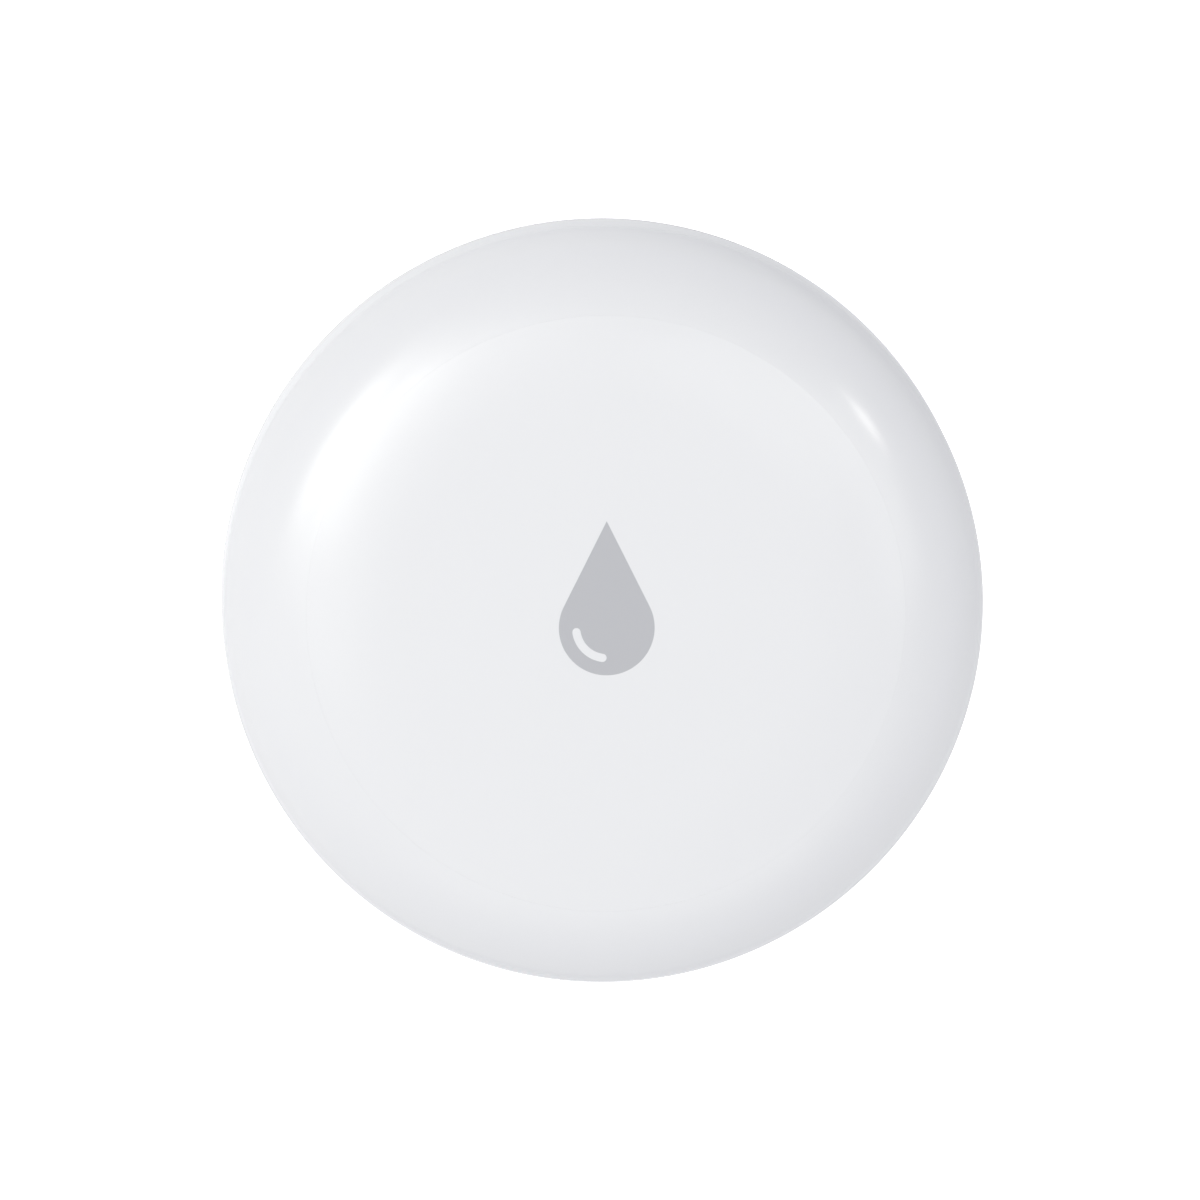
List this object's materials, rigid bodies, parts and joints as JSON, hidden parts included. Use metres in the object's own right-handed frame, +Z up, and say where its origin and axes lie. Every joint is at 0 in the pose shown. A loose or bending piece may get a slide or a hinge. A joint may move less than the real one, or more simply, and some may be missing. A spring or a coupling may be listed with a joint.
{
  "type": "water leak sensor",
  "caption": "Round white battery-powered water leak sensor: pressable top disc with a grey drop, probe screws under it and a coin-turned battery cover.",
  "frame": {"origin": "centre of the footprint, on the floor that the sensor stands on", "axes": "+Z up through the top disc, +Y the way the drop's tip points, +X through the right probe"},
  "size_m": [0.05, 0.05, 0.015],
  "materials": {
    "shell_white": "smooth white with a soft gloss",
    "disc_white": "smooth white with a soft gloss",
    "drop_grey": "light cool grey, level with the white face",
    "base_white": "fine matt texture",
    "cover_white": "fine matt texture",
    "soft_grey": "soft grey silicone",
    "clear_grey": "pale translucent silicone",
    "steel": "bright passivated stainless steel",
    "spring_steel": "nickel-plated spring strip",
    "brass": "machined",
    "cell_steel": "nickel-plated steel, lightly brushed",
    "cell_plastic": "dark grey seal",
    "cell_filling": "pressed black filling, unseen",
    "holder_black": "black moulded",
    "board_green": "green solder mask on glass fibre",
    "copper": "gold-plated copper",
    "chip_black": "black epoxy",
    "switch_black": "black moulded",
    "plunger_black": "black moulded",
    "lamp_white": "pale lens",
    "capacitor_tan": "tan ceramic with tinned ends",
    "resistor_black": "black film with tinned ends",
    "crystal_gold": "ceramic case with a metal lid"
  },
  "bodies": {
    "housing": {"top_shell": "shell_white", "button_seal": "clear_grey", "base_shell": "base_white", "housing_seal": "soft_grey", "coin_cell_can": "cell_steel", "coin_cell_gasket": "cell_plastic", "coin_cell_cap": "cell_steel", "coin_cell_filling": "cell_filling", "battery_holder": "holder_black", "negative_contact": "spring_steel", "positive_contact": "spring_steel", "probe_screw_right": "steel", "probe_screw_left": "steel", "probe_inserts": "brass", "probe_seals": "soft_grey", "probe_contact_right": "spring_steel", "probe_contact_left": "spring_steel", "circuit_board": "board_green", "board_screws": "steel", "antenna_trace": "copper", "switch_housing": "switch_black", "switch_cover_plate": "spring_steel", "switch_dome": "spring_steel", "switch_legs": "spring_steel", "radio_chip": "chip_black", "crystal": "crystal_gold", "flash_memory": "chip_black", "voltage_regulator": "chip_black", "buffer_capacitor": "capacitor_tan", "status_led": "lamp_white", "ceramic_capacitors": "capacitor_tan", "chip_resistors": "resistor_black"},
    "button": {"button_disc": "disc_white", "drop_symbol": "drop_grey"},
    "switch_plunger": {"switch_plunger": "plunger_black"},
    "battery_cover_seal": {"battery_cover_seal": "soft_grey"},
    "battery_cover": {"battery_cover": "cover_white"}
  },
  "joints": [
    {"name": "button_press", "type": "slide", "parent": "housing", "child": "button", "axis": [0, 0, -1], "range_m": [0, 0.00025], "stiffness_N_per_m": 3000, "springref_m": -0.0003, "deforming": ["button_seal", "switch_dome"]},
    {"name": "switch_plunger_press", "type": "slide", "parent": "housing", "child": "switch_plunger", "axis": [0, 0, -1], "range_m": [0, 0.00025]},
    {"name": "battery_cover_lift", "type": "slide", "parent": "housing", "child": "battery_cover_seal", "axis": [0, 0, -1], "range_m": [0, 0.006]},
    {"name": "battery_cover_turn", "type": "hinge", "parent": "battery_cover_seal", "child": "battery_cover", "pos_m": [0, 0, 0], "axis": [0, 0, -1], "range_deg": [0, 360]}
  ],
  "couplings": [
    {"joint": "switch_plunger_press", "follows": "button_press", "ratio": 1},
    {"joint": "battery_cover_turn", "follows": "battery_cover_lift", "rad_per_m": 1047.2}
  ]
}
